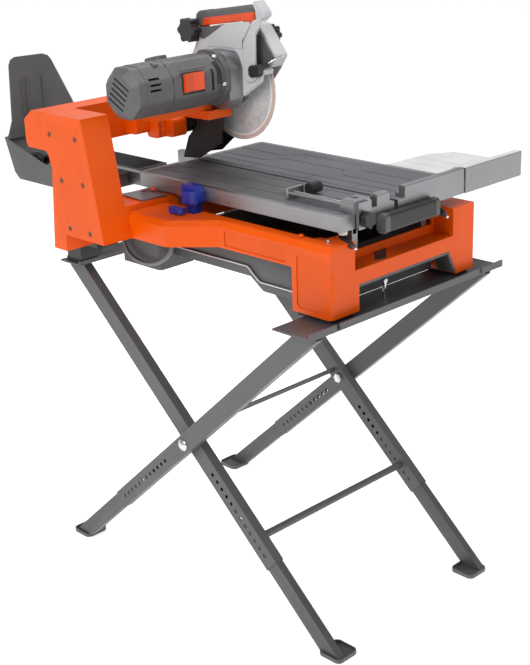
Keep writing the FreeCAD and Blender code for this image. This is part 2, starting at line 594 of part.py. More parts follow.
def make_side_guide():
    block = prism("x", [(-146, TABLE_TOP + GAP), (-84, TABLE_TOP + GAP), (-84, -180), (-94, -171),
                        (-136, -171), (-146, -180)], 456, 492)
    notch = box((455, 478), (-122, -108), (-184, -160))
    lug = box((492, 500), (-134, -100), (-234.6, -176))
    rods = [rod((296, ry, -184), (460, ry, -184), 4) for ry in (-138, -126)]
    bridge = round_edges(box((290, 300), (-144, -92), (-194, -174)), (0, 0, 1), 3)
    thread = rod((499, -117, CLAMP_Z), (500, -117, CLAMP_Z), 12)
    add("side_guide", fuse(block.cut(notch), lug, bridge, thread, *rods))
    ribbed = Part.makeCylinder(13, 34)
    for i in range(18):
        angle = 2 * math.pi * i / 18
        groove = Part.makeCylinder(1.2, 36, V(13.4 * math.cos(angle), 13.4 * math.sin(angle), -1))
        ribbed = ribbed.cut(groove)
    add("guide_knob", placed(ribbed, (312, -91 + GAP, -182), (0, 1, 0)))
    add("guide_star_knob", placed(star_knob(6, 19, 14, 6, 4), (500 + GAP, -117, CLAMP_Z), (1, 0, 0)))


# ---- head -----------------------------------------------------------------
def make_tilt():
    back = round_edges(box((ARM_RIGHT + GAP, -190), (-165, ARM_FAR), (-112, -42)), (0, 1, 0), 8)
    front = round_edges(box((-200, -158), (-124, ARM_FAR), (-124, -60)), (0, 1, 0), 8)
    block = fuse(back, front)
    flute = fuse(rod((-158, -112, -130), (-158, -112, -74), 7), Part.makeSphere(7, V(-158, -112, -74)))
    stub = rod((-336, TILT_Y, TILT_Z), (ARM_RIGHT + 1, TILT_Y, TILT_Z), 9)
    reach = box((-166, -130), (-100, ARM_FAR), (-122, -78))
    reach = round_edges(reach, (0, 1, 0), 8)
    pin = rod((HUB_X, -101, HUB_Z), (HUB_X, 0, HUB_Z), SHAFT_RADIUS)
    add("tilt_block", fuse(cut(fuse(block, stub, reach), flute), pin))
    sleeve = ring((HUB_X, ARM_FAR, HUB_Z), (HUB_X, -18, HUB_Z), HUB_RADIUS, SHAFT_RADIUS)
    ribs = [ring((HUB_X, y, HUB_Z), (HUB_X, y + 3, HUB_Z), HUB_RADIUS + 2.5, SHAFT_RADIUS)
            for y in (-55, -48, -41, -34, -27)]
    add("hub_bellows", fuse(sleeve, *ribs))
    add("tilt_knob", placed(star_knob(5, 30, 20, 12, 6), (-336.5, TILT_Y, TILT_Z), (-1, 0, 0)))


def motor_section(radius, centre_z=MOTOR_Z):
    return regular(8, radius / math.cos(math.pi / 8), (0, centre_z), 22.5)


def make_motor():
    body = prism("y", motor_section(MOTOR_RADIUS - 2), -325, -95)
    body = round_edges(body, (0, 1, 0), 16)
    waist = ring((0, -120, MOTOR_Z), (0, -104, MOTOR_Z), 90, 57)
    flange = round_edges(prism("y", motor_section(MOTOR_RADIUS + 3), -97, -81), (0, 1, 0), 20)
    bore = rod((0, -325.5, MOTOR_Z), (0, -80, MOTOR_Z), MOTOR_BORE)
    recess = box((50, 70), (-226, -158), (20, 72))
    barrel = rod((0, -230, MOTOR_Z), (0, -150, MOTOR_Z), 57)
    floor_pad = box((45, 51), (-226, -158), (20, 72)).common(barrel)
    slots = [box((40, 70), (-318, -286), (z - 2.5, z + 2.5)) for z in (42, 54, 66)]
    throat = box((40, 70), (-136, -128), (18, 66))
    seam = ring((0, -252, MOTOR_Z), (0, -249, MOTOR_Z), 90, 57.5)
    shell_body = cut(fuse(body.cut(waist), flange), bore, recess, seam, throat, *slots)
    pad = cut(floor_pad, rod((0, -330, MOTOR_Z), (0, -80, MOTOR_Z), 50.5))
    add("motor_housing", fuse(shell_body, pad))

    cap = round_edges(prism("y", motor_section(MOTOR_RADIUS - 3), -362, -325), (0, 1, 0), 16)
    end = [e for e in cap.Edges if abs(e.CenterOfMass.y + 362) < 0.1]
    cap = cap.makeChamfer(14, end)
    hollow = rod((0, -353, MOTOR_Z), (0, -324, MOTOR_Z), 44)
    vents = []
    for i in range(5):
        vent = box((-27, 27), (-370, -350), (-2.6, 2.6))
        vent.translate(V(0, 0, (i - 2) * 13))
        vent.rotate(V(0, 0, 0), V(0, 1, 0), 28)
        vent.translate(V(0, 0, MOTOR_Z))
        vents.append(vent)
    seat = ring((0, -343, MOTOR_Z), (0, -335, MOTOR_Z), 13, 8)
    arms = [box(x, (-343, -337), (MOTOR_Z - 3, MOTOR_Z + 3)) for x in ((-46, -12), (12, 46))]
    add("motor_end_cap", fuse(cut(cap, hollow, *vents), seat, *arms))
    add("motor_stator", ring((0, -275, MOTOR_Z), (0, -145, MOTOR_Z), 49.8, 32))
    add("switch_rocker", rocker())


def rocker():
    """The rocker's paddle and its hidden hinge barrel."""
    paddle = prism("z", [(56, -220), (64, -220), (58.5, -192), (64, -164), (56, -164), (53, -192)], 26, 66)
    return fuse(paddle, rod((55, -192, 26), (55, -192, 66), 3))


def gear(teeth, bore, low, high, phase):
    """A spur gear about Y with straight-flanked, slightly thin teeth."""
    pitch = GEAR_MODULE * teeth / 2
    tip = pitch + 0.8 * GEAR_MODULE
    root = pitch - 1.15 * GEAR_MODULE
    tooth = 2 * math.pi / teeth
    outline = []
    for i in range(teeth):
        middle = phase + i * tooth
        for radius, part in ((root, -0.33), (tip, -0.13), (tip, 0.13), (root, 0.33)):
            angle = middle + part * tooth
            outline.append((radius * math.cos(angle), radius * math.sin(angle)))
    body = prism("y", outline, low, high)
    return body.cut(rod((0, low - 1, 0), (0, high + 1, 0), bore)) if bore else body


def make_gearbox():
    """Neck between the motor and the guard, with its spindle, bearings and gears."""
    neck = [(-36, -39), (36, -39), (56, -20), (58, 60), (40, 94), (-40, 94), (-58, 60), (-56, -20)]
    inner = [(-34, -33), (34, -33), (48, -18), (50, 56), (35, 84), (-35, 84), (-50, 56), (-48, -18)]
    outer = round_edges(prism("y", neck, -81, GUARD_NEAR), (0, 1, 0), 22)
    room = prism("y", inner, -74, -46)
    spindle_seat = rod((0, -90, 0), (0, -30, 0), 17)
    pinion_seat = rod((0, -90, MOTOR_Z), (0, -73, MOTOR_Z), 12)
    add("gear_housing", cut(outer, room, spindle_seat, pinion_seat))
    add("shaft_bearings", ring((0, -81, 0), (0, -74, 0), 17, SPINDLE_RADIUS + RUNNING),
        ring((0, -46, 0), (0, GUARD_NEAR, 0), 17, SPINDLE_RADIUS + RUNNING),
        ring((0, -81, MOTOR_Z), (0, -74, MOTOR_Z), 12, ARMATURE_SHAFT + RUNNING))

    half = BLADE_THICKNESS / 2
    shaft = rod((0, -84, 0), (0, 20, 0), SPINDLE_RADIUS)
    inner_flange = rod((0, -12, 0), (0, -half, 0), 40)
    collar = rod((0, -34, 0), (0, -12, 0), 16)
    outer_flange = ring((0, half, 0), (0, 9, 0), 40, SPINDLE_RADIUS)
    nut = prism("y", regular(6, 18), 9, 20).cut(rod((0, 8, 0), (0, 21, 0), SPINDLE_RADIUS))
    add("spindle", fuse(shaft, collar, inner_flange))
    add("flange_nut", fuse(outer_flange, nut))
    disc = ring((0, -half, 0), (0, half, 0), BLADE_RADIUS, SPINDLE_RADIUS)
    notches = []
    for i in range(16):
        angle = 2 * math.pi * i / 16
        nx, nz = BLADE_RADIUS * math.cos(angle), BLADE_RADIUS * math.sin(angle)
        notches.append(rod((nx, -2, nz), (nx, 2, nz), 1.4))
    add("blade", cut(disc, *notches))
    add("spindle_gear", gear(GEAR_TEETH, SPINDLE_RADIUS, -62, -52, math.pi / 2))

    pinion = gear(PINION_TEETH, 0, -63, -51, math.pi / 2 + math.pi / PINION_TEETH)
    pinion.translate(V(0, 0, MOTOR_Z))
    shaft = rod((0, -336, MOTOR_Z), (0, -51, MOTOR_Z), ARMATURE_SHAFT - 0.6)
    journal = rod((0, -82, MOTOR_Z), (0, -66, MOTOR_Z), ARMATURE_SHAFT)
    core = rod((0, -275, MOTOR_Z), (0, -145, MOTOR_Z), 31)
    commutator = rod((0, -318, MOTOR_Z), (0, -290, MOTOR_Z), 15)
    fan = rod((0, -130, MOTOR_Z), (0, -112, MOTOR_Z), 40)
    add("armature", fuse(shaft, journal, pinion, core, commutator, fan))


GUARD_NEAR_OUTLINE = [(-126, 20), (-119, 78), (-84, 134), (-40, 146), (50, 156), (60, 118), (62, 66),
                      (104, 64), (126, 54), (118, 28), (60, -10), (-20, -34), (-70, -34), (-116, 2)]
GUARD_FAR_OUTLINE = [(-140, 20), (-140, 78), (-98, 128), (-40, 146), (60, 156), (82, 152),
                     (136, 84), (112, 50), (60, -10), (-20, -34), (-70, -34), (-116, 2)]


def make_guard():
    near = prism("y", GUARD_NEAR_OUTLINE, GUARD_NEAR, -4)
    near = round_edges(near, (0, 1, 0), 8, lambda c: c.z > 60)
    rim = [e for e in near.Edges if abs(e.CenterOfMass.y - GUARD_NEAR) < 0.1 and e.CenterOfMass.z > -20]
    near = near.makeChamfer(4, rim)
    room = rod((0, GUARD_NEAR + 6, 0), (0, 60, 0), 131)
    hole = rod((0, -40, 0), (0, 0, 0), 18)
    add("blade_guard", biggest(cut(near, room, hole)))
    far = prism("y", GUARD_FAR_OUTLINE, -3.5, GUARD_FAR)
    far = round_edges(far, (0, 1, 0), 8, lambda c: c.z > 60)
    rim = [e for e in far.Edges if abs(e.CenterOfMass.y - GUARD_FAR) < 0.1 and e.CenterOfMass.z > -20]
    far = far.makeChamfer(4, rim)
    room = rod((0, -10, 0), (0, GUARD_FAR - 4, 0), 131)
    add("guard_cover", cut(far, room))
    add("cover_knob", placed(star_knob(7, 25, 16, 7, 6), (68, GUARD_FAR + GAP, 122), (0, 1, 0)))

    bar = prism("y", [(-101, 150), (-96, 142), (-84, 142.7), (60, 163), (84, 162), (100, 170),
                      (101, 194), (94, 202), (-90, 176), (-99, 168)], -33, -1)
    bar = round_edges(bar, (0, 1, 0), 5)
    side_edges = [e for e in bar.Edges if min(abs(e.CenterOfMass.y + 33), abs(e.CenterOfMass.y + 1)) < 0.1]
    bar = bar.makeChamfer(6, side_edges)
    posts = [box((-98, -82), (-26, -8), (120, 156)), box((64, 86), (-26, -8), (130, 176))]
    posts = [p.cut(Part.makeCompound([parts["blade_guard"], parts["guard_cover"]])) for p in posts]
    add("handle", fuse(bar, *posts))

    bracket = box((-124, -84), (GUARD_NEAR, -12), (104, 139)).cut(parts["blade_guard"])
    bracket = bracket.cut(parts["handle"])
    parts["blade_guard"] = fuse(parts["blade_guard"], biggest(bracket))
    knob = star_knob(6, 30, 24, 8, 3)
    add("plunge_lock_knob", placed(knob, (-106, GUARD_NEAR - GAP, 133), (0, -1, 0)))


def biggest(shape):
    return max(shape.Solids, key=lambda s: s.Volume)


def make_cradle():
    """Carrier under the motor, with the ear that turns on the plunge shaft."""
    plate = box((-96, -4), (-262, -84), (-42, -22))
    low_plate = box((-100, 14), (-112, GUARD_NEAR - 0.5), (-60, -39.3))
    ear = prism("y", [(-174, -98), (-166, -116), (-150, -124), (-134, -116), (-127, -90), (-118, -56),
                      (-150, -56)], -17, -5)
    arm = box((-150, -96), (-56, GUARD_NEAR - 0.5), (-78, -50))
    link = box((-150, -118), (-56, -5), (-78, -56))
    bore = rod((HUB_X, -20, HUB_Z), (HUB_X, 0, HUB_Z), SHAFT_RADIUS + RUNNING)
    motor_room = prism("y", motor_section(MOTOR_RADIUS + 3.2), -340, -80)
    body = fuse(plate, low_plate, ear, arm, link)
    blade_room = rod((0, GUARD_NEAR - 0.4, 0), (0, 60, 0), 131.5)
    hub_room = rod((HUB_X, -57, HUB_Z), (HUB_X, -17.5, HUB_Z), HUB_RADIUS + 3.5)
    body = cut(body, bore, motor_room, parts["gear_housing"], parts["blade_guard"], blade_room, hub_room)
    add("head_cradle", biggest(body))


def make_flap():
    side = [(-100, -40), (-52, -47), (-29, -50), (-13, -67), (-24, -132), (-106, -180), (-166, -185),
            (-143, -130), (-104, -92)]
    near = prism("y", side, GUARD_NEAR - 3, GUARD_NEAR)
    far_side = [(-100, -40), (-60, -44), (-42, -60), (-40, -118), (-106, -172), (-166, -185),
                (-143, -130), (-104, -92)]
    far = prism("y", far_side, GUARD_FAR - 3, GUARD_FAR)
    web = prism("y", [(-104, -92), (-143, -130), (-166, -185), (-160, -185), (-138, -128), (-101, -95)],
                GUARD_NEAR - 3, GUARD_FAR)
    flap = fuse(near, far, web)
    neighbours = [parts[name] for name in ("head_cradle", "guard_cover", "gear_housing")]
    add("splash_flap", biggest(cut(flap, *neighbours)))


make_stand()
make_chassis()
make_column()
make_base_fittings()
make_water_parts()
make_small_base_parts()
make_table()
make_side_guide()
make_tilt()
make_motor()
make_gearbox()
make_guard()
make_cradle()
make_flap()

os.makedirs("parts", exist_ok=True)
for name, shape in parts.items():
    moved = shape.copy()
    moved.translate(SHIFT)
    moved.exportStep("parts/%s.step" % name)
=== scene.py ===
import json
import math

import bmesh
import bpy
from mathutils import Matrix, Vector


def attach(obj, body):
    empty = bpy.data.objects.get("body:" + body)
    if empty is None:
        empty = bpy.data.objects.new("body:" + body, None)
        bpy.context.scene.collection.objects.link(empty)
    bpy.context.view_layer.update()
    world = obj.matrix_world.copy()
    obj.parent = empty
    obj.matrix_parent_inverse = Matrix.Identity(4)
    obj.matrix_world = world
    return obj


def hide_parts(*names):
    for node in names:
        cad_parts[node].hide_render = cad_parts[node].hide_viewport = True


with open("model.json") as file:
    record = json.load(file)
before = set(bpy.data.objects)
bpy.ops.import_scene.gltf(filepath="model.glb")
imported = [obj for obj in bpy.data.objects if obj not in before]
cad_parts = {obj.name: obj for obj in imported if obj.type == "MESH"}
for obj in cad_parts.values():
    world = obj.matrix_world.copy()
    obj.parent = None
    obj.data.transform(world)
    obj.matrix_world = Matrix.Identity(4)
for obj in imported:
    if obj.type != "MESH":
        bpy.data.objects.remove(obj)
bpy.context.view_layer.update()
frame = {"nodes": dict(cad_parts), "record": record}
nodes = frame["nodes"]
MM = 0.001
# The blade's centre in the frame. Every outline below is in millimetres about it:
# x towards the operator, y away from the motor, z up.
BLADE_CENTRE = Vector((57.65, -39.5, 1223.0))


def spot(x, y, z):
    """A point in millimetres about the blade's centre, as metres from the floor's middle."""
    return (Vector((x, y, z)) + BLADE_CENTRE) * MM


def set_range(node, start, end, low, high):
    """Sets a Map Range node to turn start..end into low..high."""
    for key, number in (("From Min", start), ("From Max", end),
                        ("To Min", low), ("To Max", high)):
        node.inputs[key].default_value = number


def add_bevel(obj, width, segments, angle):
    """Rounds edges sharper than an angle; the width is in millimetres."""
    bevel = obj.modifiers.new("edge_break", "BEVEL")
    bevel.width = width * MM
    bevel.segments = segments
    bevel.limit_method = "ANGLE"
    bevel.angle_limit = angle


# ---- materials ------------------------------------------------------------
# Places of the colour sockets on a Mix node set to RGBA, which share their names.
MIX_FIRST, MIX_SECOND, MIX_RESULT = 6, 7, 2
# Pointiness where wear on an edge begins, and where it is complete.
WEAR_START, WEAR_FULL = 0.52, 0.60
# Distances from the blade's middle, in metres, over which its finish changes.
POLISH_STARTS = (0.1105, 0.1115)
RIM_STARTS = (0.1145, 0.1155)


def linear(hex_colour):
    """A hex colour as the linear RGBA that shaders take."""
    values = [int(hex_colour[i:i + 2], 16) / 255 for i in (1, 3, 5)]
    return tuple(v / 12.92 if v <= 0.04045 else ((v + 0.055) / 1.055) ** 2.4
                 for v in values) + (1.0,)


def shade(colour, factor):
    """A colour made darker or lighter, kept opaque."""
    return tuple(min(1.0, c * factor) for c in colour[:3]) + (1.0,)


class Shader:
    """A material under construction: nodes are added and linked by short calls."""

    def __init__(self, name):
        self.material = bpy.data.materials.new(name)
        self.material.use_nodes = True
        self.tree = self.material.node_tree
        self.bsdf = self.tree.nodes["Principled BSDF"]
        self.place = self.add("ShaderNodeTexCoord").outputs["Object"]

    def add(self, kind, **settings):
        node = self.tree.nodes.new(kind)
        for key, value in settings.items():
            setattr(node, key, value)
        return node

    def link(self, source, target):
        self.tree.links.new(source, target)

    def noise(self, scale, detail=4.0, stretch=None, rough=0.5):
        """Noise from 0 to 1 in the object's own space, in cells per metre."""
        node = self.add("ShaderNodeTexNoise")
        node.inputs["Scale"].default_value = scale
        node.inputs["Detail"].default_value = detail
        node.inputs["Roughness"].default_value = rough
        self.link(self.stretched(stretch), node.inputs["Vector"])
        return node.outputs["Fac"]

    def stretched(self, stretch):
        """The object's coordinates, scaled along each axis where stretch is given."""
        if stretch is None:
            return self.place
        mapping = self.add("ShaderNodeMapping")
        mapping.inputs["Scale"].default_value = stretch
        self.link(self.place, mapping.inputs["Vector"])
        return mapping.outputs["Vector"]

    def ramp(self, value, stops):
        """Maps a value to colours; stops are (position, colour)."""
        node = self.add("ShaderNodeValToRGB")
        elements = node.color_ramp.elements
        while len(elements) < len(stops):
            elements.new(0.5)
        for element, (position, colour) in zip(elements, stops):
            element.position = position
            element.color = colour
        self.link(value, node.inputs["Fac"])
        return node.outputs["Color"]

    def level(self, value, low, high, start=0.3, end=0.7):
        """Maps a value between start and end to numbers between low and high."""
        node = self.add("ShaderNodeMapRange")
        set_range(node, start, end, low, high)
        self.link(value, node.inputs["Value"])
        return node.outputs["Result"]

    def blend(self, factor, first, second):
        """Mixes two colours by a factor."""
        node = self.add("ShaderNodeMix", data_type="RGBA")
        self.link(factor, node.inputs["Factor"])
        self.link(first, node.inputs[MIX_FIRST])
        self.link(second, node.inputs[MIX_SECOND])
        return node.outputs[MIX_RESULT]

    def edges(self):
        """Near one on sharp outside edges, where paint and powder coat wear."""
        geometry = self.add("ShaderNodeNewGeometry")
        return self.level(geometry.outputs["Pointiness"], 0.0, 1.0, WEAR_START, WEAR_FULL)

    def bump(self, *layers):
        """Stacks (height, strength, distance in metres) layers onto the surface normal."""
        last = None
        for height, strength, distance in layers:
            node = self.add("ShaderNodeBump")
            node.inputs["Strength"].default_value = strength
            node.inputs["Distance"].default_value = distance
            self.link(height, node.inputs["Height"])
            if last is not None:
                self.link(last, node.inputs["Normal"])
            last = node.outputs["Normal"]
        self.link(last, self.bsdf.inputs["Normal"])

    def finish(self, colour, roughness, metallic=0.0, **sockets):
        """Feeds the shader; other sockets are set by name, spaces written as underscores."""
        self.link(colour, self.bsdf.inputs["Base Color"])
        self.link(roughness, self.bsdf.inputs["Roughness"])
        self.bsdf.inputs["Metallic"].default_value = metallic
        for key, value in sockets.items():
            self.bsdf.inputs[key.replace("_", " ")].default_value = value
        return self.material


def enamel(name, hex_colour, rough=(0.30, 0.42)):
    """Sprayed enamel on a casting: soft mottling, orange peel and paler worn edges."""
    s = Shader(name)
    base = linear(hex_colour)
    cloud = s.noise(6, 5)
    speck = s.noise(420, 2)
    colour = s.ramp(cloud, [(0.3, shade(base, 0.9)), (0.7, shade(base, 1.06))])
    worn = s.ramp(speck, [(0.3, shade(base, 1.1)), (0.8, shade(base, 1.35))])
    colour = s.blend(s.level(s.edges(), 0.0, 0.5, 0.0, 1.0), colour, worn)
    s.bump((s.noise(900, 2), 0.12, 0.0004), (s.noise(120, 3), 0.10, 0.0006))
    return s.finish(colour, s.level(cloud, *rough), Coat_Weight=0.08, Coat_Roughness=0.2,
                    Specular_IOR_Level=0.2)


def powder_coat(name, hex_colour):
    """Fine-textured powder coat with a few rubbed spots."""
    s = Shader(name)
    base = linear(hex_colour)
    grain = s.noise(1500, 3)
    wear = s.noise(14, 6)
    colour = s.ramp(wear, [(0.3, shade(base, 0.86)), (0.62, base), (0.78, shade(base, 1.22))])
    edge = s.ramp(grain, [(0.3, shade(base, 1.3)), (0.8, shade(base, 1.7))])
    colour = s.blend(s.level(s.edges(), 0.0, 0.55, 0.0, 1.0), colour, edge)
    s.bump((grain, 0.35, 0.0004))
    return s.finish(colour, s.level(wear, 0.36, 0.52), metallic=0.1)


def moulded(name, hex_colour, rough=(0.42, 0.58), grain_size=700, strength=0.3):
    """Moulded plastic with a spark-eroded grain and slight scuffs."""
    s = Shader(name)
    base = linear(hex_colour)
    grain = s.noise(grain_size, 4)
    cloud = s.noise(9, 5)
    scuff = s.noise(60, 6, (1.0, 6.0, 2.0))
    colour = s.ramp(cloud, [(0.3, shade(base, 0.88)), (0.7, shade(base, 1.1))])
    dusty = s.ramp(scuff, [(0.3, base), (0.8, shade(base, 1.5))])
    colour = s.blend(s.level(scuff, 0.0, 0.35, 0.62, 0.8), colour, dusty)
    s.bump((grain, strength, 0.0004), (scuff, 0.08, 0.0003))
    return s.finish(colour, s.level(grain, *rough))


def brushed(name, hex_colour, stretch, rough=(0.22, 0.4)):
    """Brushed or machined metal: fine streaks along one axis."""
    s = Shader(name)
    base = linear(hex_colour)
    streak = s.noise(500, 3, stretch)
    cloud = s.noise(8, 4)
    colour = s.ramp(streak, [(0.3, shade(base, 0.84)), (0.7, shade(base, 1.12))])
    stain = s.ramp(cloud, [(0.35, shade(base, 0.9)), (0.65, shade(base, 1.05))])
    colour = s.blend(s.level(cloud, 0.1, 0.5), colour, stain)
    s.bump((streak, 0.12, 0.0003))
    return s.finish(colour, s.level(streak, *rough), metallic=1.0)


def plated(name):
    """Bright zinc or chrome plate."""
    s = Shader(name)
    base = linear("#D4D5D8")
    haze = s.noise(70, 4)
    colour = s.ramp(haze, [(0.3, shade(base, 0.9)), (0.7, base)])
    s.bump((s.noise(800, 2), 0.05, 0.0002))
    return s.finish(colour, s.level(haze, 0.12, 0.26), metallic=1.0)


def rubber(name, hex_colour):
    """Moulded rubber with dried water marks."""
    s = Shader(name)
    base = linear(hex_colour)
    cloud = s.noise(7, 6)
    grain = s.noise(1100, 3)
    colour = s.ramp(cloud, [(0.3, shade(base, 0.8)), (0.7, shade(base, 1.2))])
    s.bump((grain, 0.4, 0.0004))
    return s.finish(colour, s.level(cloud, 0.55, 0.72))


def blade_steel():
    """A steel disc: fine turned rings, a dull body, a polished band and a coppery rim."""
    s = Shader("blade_steel")
    centre = nodes["blade"].matrix_world.inverted() @ spot(0, 0, 0)
    flat = s.add("ShaderNodeMapping", vector_type="POINT")
    flat.inputs["Location"].default_value = (-centre.x, 0.0, -centre.z)
    flat.inputs["Scale"].default_value = (1.0, 0.0, 1.0)
    s.link(s.place, flat.inputs["Vector"])
    length = s.add("ShaderNodeVectorMath", operation="LENGTH")
    s.link(flat.outputs["Vector"], length.inputs[0])
    radius = length.outputs["Value"]
    rings = s.add("ShaderNodeTexNoise", noise_dimensions="1D")
    rings.inputs["Scale"].default_value = 900
    s.link(radius, rings.inputs["W"])
    rings = rings.outputs["Fac"]
    cloud = s.noise(22, 6)
    grit = s.noise(1300, 3)
    speckle = s.noise(75, 8, rough=0.7)
    steel = s.ramp(speckle, [(0.3, linear("#A2A4A6")), (0.5, linear("#C0C1C2")),
                             (0.72, linear("#D0D1D2"))])
    rim = s.ramp(grit, [(0.3, linear("#BFA497")), (0.7, linear("#DCCBC2"))])
    polished = s.ramp(cloud, [(0.3, linear("#D8D9DA")), (0.7, linear("#EEEEEE"))])
    colour = s.blend(s.level(radius, 0.0, 1.0, *POLISH_STARTS), steel, polished)
    colour = s.blend(s.level(radius, 0.0, 1.0, *RIM_STARTS), colour, rim)
    s.bump((rings, 0.15, 0.0003), (grit, 0.25, 0.0002))
    return s.finish(colour, s.level(cloud, 0.5, 0.65), metallic=0.25)


# One material for each of the record's slots, and two for single nodes.
MATERIALS = {
    "orange_paint": enamel("orange_enamel", "#D44E00"),
    "black_steel": powder_coat("grey_powder_coat", "#4C4C4D"),
    "grey_plastic": moulded("grey_moulding", "#525253"),
    "dark_plastic": moulded("black_moulding", "#1F2022", (0.34, 0.5)),
    "light_guard": enamel("silver_enamel", "#B6B7B9", (0.34, 0.46)),
    "bright_steel": brushed("bright_steel", "#A9A9AB", (1.0, 1.0, 8.0)),
    "chrome": plated("bright_plate"),
    "alloy": brushed("alloy", "#98999B", (0.1, 1.0, 1.0), (0.32, 0.48)),
    "rubber_black": rubber("black_rubber", "#0F1011"),
    "blue_plastic": moulded("blue_moulding", "#162C86", (0.25, 0.38), 500, 0.12),
    "orange_plastic": moulded("orange_moulding", "#D4440A", (0.3, 0.45), 500, 0.12),
    "clear_hose": moulded("hose_plastic", "#5E6062", (0.25, 0.4), 300, 0.1),
    "light_plastic": moulded("pale_moulding", "#C9C9C9", (0.35, 0.5), 600, 0.15),
    "mat": rubber("rubber_mat", "#55565A"),
    "blade": blade_steel(),
}
BY_NODE = {"blade": "blade", "table_mat": "mat"}

# Bevel widths in millimetres, for castings and mouldings with softer edges than the rest.
EDGE_WIDTHS = {"chassis": 3.5, "column": 4.5, "water_tub": 2.5, "motor_housing": 2.0,
               "motor_end_cap": 2.0, "gear_housing": 3.0, "blade_guard": 2.0,
               "guard_cover": 2.0, "table_lock": 2.5}
PLAIN_EDGE_WIDTH = 1.2
NODE_EDGE_ANGLE = math.radians(40)


def dress_nodes():
    """Gives every CAD node its finish and softens its hard edges."""
    slots = {part["node"]: part["material_slot"] for part in frame["record"]["subparts"]}
    for name, node in nodes.items():
        node.data.materials.clear()
        node.data.materials.append(MATERIALS[BY_NODE.get(name, slots[name])])
        width = EDGE_WIDTHS.get(name, PLAIN_EDGE_WIDTH)
        add_bevel(node, width, segments=2, angle=NODE_EDGE_ANGLE)


# ---- piece builders -------------------------------------------------------
PIECE_EDGE_ANGLE = math.radians(32)
SHARP_ANGLE = math.radians(38)
TUBE_END_BULGE = 0.3    # how far a tube's end stands out, in radii
TUBE_END_SCALE = 0.7    # and how wide it is there
SCREW_DEPTH = 0.6       # millimetres of a screw's flange under the surface it sits on
LOBE_STEPS = 10         # points round each lobe of a knob
LOBE_SHAPE = 0.6        # below one, the lobes are wider than the gaps between them
LOBES_FADE = (0.5, 0.4)     # where a knob's face starts to follow its lobes, and over how much


def piece(name, points, faces, material, body, edge=0.0, smooth=False):
    """A closed mesh from points in millimetres about the blade's centre."""
    mesh = bpy.data.meshes.new(name)
    mesh.from_pydata([spot(*point) for point in points], [], faces)
    build = bmesh.new()
    build.from_mesh(mesh)
    bmesh.ops.recalc_face_normals(build, faces=build.faces)
    build.to_mesh(mesh)
    build.free()
    if smooth:
        mesh.polygons.foreach_set("use_smooth", [True] * len(mesh.polygons))
        mesh.set_sharp_from_angle(angle=SHARP_ANGLE)
    mesh.materials.append(MATERIALS[material])
    obj = bpy.data.objects.new(name, mesh)
    bpy.context.scene.collection.objects.link(obj)
    if edge:
        add_bevel(obj, edge, segments=3, angle=PIECE_EDGE_ANGLE)
    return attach(obj, body)


def prism(name, axis, outline, low, high, material, body, edge=1.0, smooth=False):
    """A plate or bar: an outline in the plane across one axis, between two levels of it."""
    def at(level, u, v):
        return {"x": (level, u, v), "y": (u, level, v), "z": (u, v, level)}[axis]
    count = len(outline)
    points = [at(low, u, v) for u, v in outline] + [at(high, u, v) for u, v in outline]
    faces = [tuple(range(count)), tuple(range(count, 2 * count))]
    faces += [(i, (i + 1) % count, (i + 1) % count + count, i + count) for i in range(count)]
    return piece(name, points, faces, material, body, edge, smooth)


def ring_faces(rings, steps):
    """Faces for a stack of rings of points: the two end caps, then the walls."""
    last = (rings - 1) * steps
    faces = [tuple(range(steps)), tuple(range(last, last + steps))]
    for ring in range(rings - 1):
        for i in range(steps):
            a, b = ring * steps + i, ring * steps + (i + 1) % steps
            faces.append((a, b, b + steps, a + steps))
    return faces


def frame_on(direction):
    """Three unit vectors at right angles, the first along a direction."""
    ahead = Vector(direction).normalized()
    side = ahead.orthogonal().normalized()
    return ahead, side, ahead.cross(side)


def turned(name, profile, start, direction, material, body, steps=28):
    """A turned piece: (radius, height) pairs spun about an axis, closed at both ends."""
    ahead, side, other = frame_on(direction)
    points = []
    for radius, height in profile:
        for i in range(steps):
            angle = 2 * math.pi * i / steps
            round_part = side * (radius * math.cos(angle)) + other * (radius * math.sin(angle))
            points.append(Vector(start) + ahead * height + round_part)
    faces = ring_faces(len(profile), steps)
    return piece(name, points, faces, material, body, smooth=True)


def tube(name, route, radius, material, body, steps=14):
    """A bent rod or pipe along a route of points, its ends slightly rounded."""
    route = [Vector(point) for point in route]
    first, end = (route[1] - route[0]).normalized(), (route[-1] - route[-2]).normalized()
    stations = [(route[0] - first * radius * TUBE_END_BULGE, TUBE_END_SCALE)]
    stations += [(point, 1.0) for point in route]
    stations.append((route[-1] + end * radius * TUBE_END_BULGE, TUBE_END_SCALE))
    side = first.orthogonal().normalized()
    points = []
    for i, (at, scale) in enumerate(stations):
        before = stations[max(i - 1, 0)][0]
        after = stations[min(i + 1, len(stations) - 1)][0]
        along = (after - before).normalized()
        side = (side - along * side.dot(along)).normalized()
        other = along.cross(side)
        for k in range(steps):
            angle = 2 * math.pi * k / steps
            points.append(at + (side * math.cos(angle) + other * math.sin(angle)) * radius * scale)
    faces = ring_faces(len(stations), steps)
    return piece(name, points, faces, material, body, smooth=True)


def screw(name, at, direction, radius, body, material="chrome"):
    """A pan-head screw with a washer flange and a sunk socket."""
    rings = [(1.25, 0.18), (1.0, 0.24), (0.96, 0.5), (0.72, 0.72), (0.5, 0.74), (0.44, 0.3),
             (0.1, 0.26)]
    profile = [(radius * 1.25, -SCREW_DEPTH)]
    profile += [(radius * wide, radius * high) for wide, high in rings]
    return turned(name, profile, at, direction, material, body, 24)


